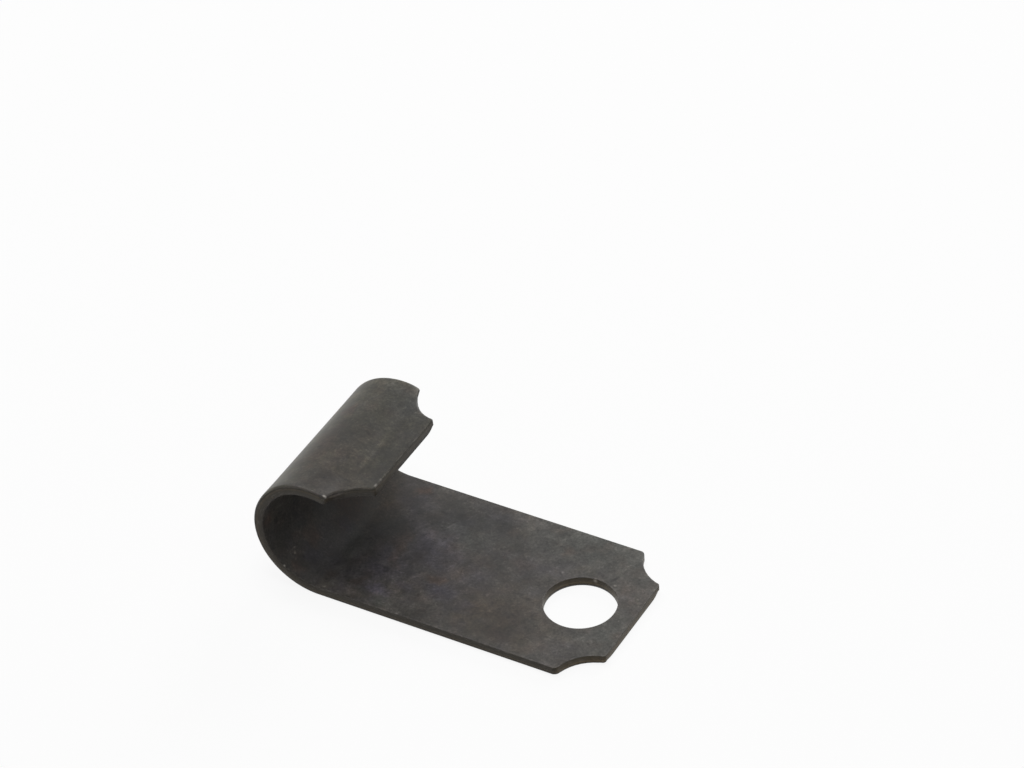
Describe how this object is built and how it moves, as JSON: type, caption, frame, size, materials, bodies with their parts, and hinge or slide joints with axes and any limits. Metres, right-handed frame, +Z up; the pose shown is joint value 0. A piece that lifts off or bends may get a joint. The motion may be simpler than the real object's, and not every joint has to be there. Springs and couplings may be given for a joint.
{
  "type": "jack wrench clip",
  "caption": "One-piece spring steel clip: a flat bolt-down base whose far end curls over into an open hook that grips a wrench's round bar.",
  "frame": {"origin": "centre of the bolt hole, on the underside of the flat base", "axes": "+X along the strip to the end of the base beyond the hole; +Y across the strip; +Z up, the side that the curl rises on"},
  "size_m": [0.0505, 0.0254, 0.0185],
  "materials": {
    "blued_spring_steel": "satin, dark grey-brown oil-blackened rolled strip, a little mottled"
  },
  "bodies": {
    "root": {"clip": "blued_spring_steel"}
  },
  "joints": []
}
